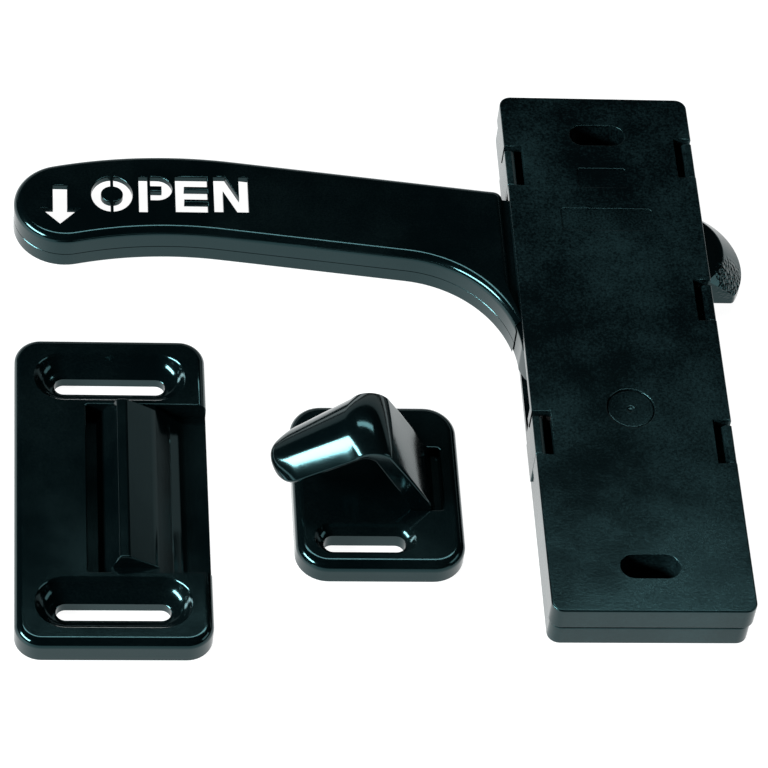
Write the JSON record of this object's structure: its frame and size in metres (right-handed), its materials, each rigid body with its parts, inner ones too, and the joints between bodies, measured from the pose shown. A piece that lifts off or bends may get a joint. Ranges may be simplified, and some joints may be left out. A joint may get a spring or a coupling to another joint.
{
  "type": "screen door latch set",
  "caption": "Right-hand screen door latch set: a flat latch case with a cranked push-down lever and a spring bolt, with its loose strike plate and outside pull.",
  "frame": {"origin": "middle of the latch case's flat back face, where it meets the door", "axes": "+X from the lever towards the bolt, +Y up the door, +Z off the door into the room; the strike plate and the pull lie beside the case on the same plane"},
  "size_m": [0.188, 0.1715, 0.031],
  "materials": {
    "case_plastic": "black moulded plastic with a fine matt grain on its faces",
    "gloss_plastic": "black moulded plastic with a gloss skin and rolled edges",
    "acetal": "natural acetal, turned",
    "plated_steel": "bright zinc-plated steel",
    "spring_steel": "drawn stainless spring wire and strip",
    "stop_rubber": "black rubber tube"
  },
  "bodies": {
    "case": {"rear_housing": "case_plastic", "front_cover": "case_plastic", "pivot_cap": "case_plastic", "pivot_pin": "plated_steel", "rear_thrust_washer": "plated_steel", "front_thrust_washer": "plated_steel", "lever_spring": "spring_steel", "bolt_spring_lower": "spring_steel", "bolt_spring_upper": "spring_steel", "spring_seat_strip": "spring_steel", "rest_stop_sleeve": "stop_rubber", "travel_stop_sleeve": "stop_rubber"},
    "lever": {"lever": "gloss_plastic", "pivot_bush": "acetal", "drive_pin": "plated_steel"},
    "bolt": {"latch_bolt": "gloss_plastic"},
    "strike": {"strike_plate": "gloss_plastic"},
    "pull": {"pull_base": "gloss_plastic", "pull_grip": "gloss_plastic"}
  },
  "joints": [
    {"name": "lever_turn", "type": "hinge", "parent": "case", "child": "lever", "pos_m": [0, -0.0214, 0.006], "axis": [0, 0, 1], "range_deg": [0, 10.5], "stiffness_Nm_per_rad": 4, "springref_deg": -11.46, "deforming": ["lever_spring"]},
    {"name": "bolt_slide", "type": "slide", "parent": "case", "child": "bolt", "axis": [1, 0, 0], "range_m": [-0.0104, 0], "deforming": ["bolt_spring_lower", "bolt_spring_upper"]},
    {"name": "strike_lift", "type": "slide", "parent": "case", "child": "strike", "axis": [0, 0, 1], "range_m": [0, 0.06]},
    {"name": "pull_lift", "type": "slide", "parent": "case", "child": "pull", "axis": [0, 0, 1], "range_m": [0, 0.06]}
  ],
  "couplings": [
    {"joint": "bolt_slide", "follows": "lever_turn", "m_per_rad": -0.05626}
  ]
}
